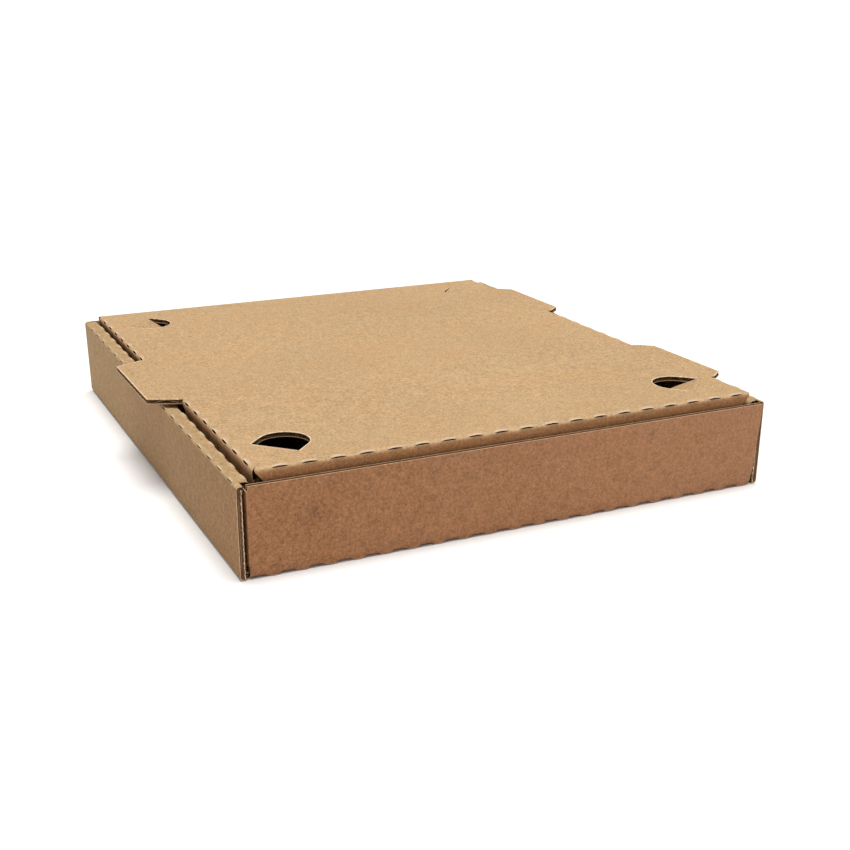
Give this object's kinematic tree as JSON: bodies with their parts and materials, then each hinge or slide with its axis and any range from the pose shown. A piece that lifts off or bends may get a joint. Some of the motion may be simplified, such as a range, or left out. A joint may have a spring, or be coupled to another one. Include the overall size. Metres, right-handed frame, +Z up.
{
  "type": "pizza box",
  "caption": "Square-cornered corrugated pizza box with a hinged lid, rolled double side walls, ledge tabs and push-in steam vents, closed.",
  "frame": {"origin": "middle of the underside of the base, between the outer faces of the four walls", "axes": "+Z up, +Y towards the hinged back wall, so the front wall that the lid tucks behind faces -Y, +X to the right seen from the front"},
  "size_m": [0.3134, 0.325, 0.0535],
  "materials": {
    "tray_board": "plain brown kraft liner, matt",
    "lid_board": "plain brown kraft liner, matt"
  },
  "bodies": {
    "tray": {"tray": "tray_board"},
    "lid": {"lid": "lid_board"},
    "vent_flap_front_left": {"vent_flap_front_left": "lid_board"},
    "vent_flap_front_right": {"vent_flap_front_right": "lid_board"},
    "vent_flap_back_left": {"vent_flap_back_left": "lid_board"},
    "vent_flap_back_right": {"vent_flap_back_right": "lid_board"}
  },
  "joints": [
    {"name": "lid_hinge", "type": "hinge", "parent": "tray", "child": "lid", "pos_m": [0, 0.16115, 0.049], "axis": [-1, 0, 0], "range_deg": [0, 180]},
    {"name": "vent_front_left_hinge", "type": "hinge", "parent": "lid", "child": "vent_flap_front_left", "pos_m": [-0.1238, -0.13498, 0.05195], "axis": [-0.7071, 0.7071, -0.007], "range_deg": [-64, 26]},
    {"name": "vent_front_right_hinge", "type": "hinge", "parent": "lid", "child": "vent_flap_front_right", "pos_m": [0.1238, -0.13498, 0.05195], "axis": [-0.7071, -0.7071, 0.007], "range_deg": [-26, 64]},
    {"name": "vent_back_left_hinge", "type": "hinge", "parent": "lid", "child": "vent_flap_back_left", "pos_m": [-0.1238, 0.135, 0.04926], "axis": [0.7071, 0.7071, -0.007], "range_deg": [-24, 66]},
    {"name": "vent_back_right_hinge", "type": "hinge", "parent": "lid", "child": "vent_flap_back_right", "pos_m": [0.1238, 0.135, 0.04926], "axis": [0.7071, -0.7071, 0.007], "range_deg": [-7, 83]}
  ]
}
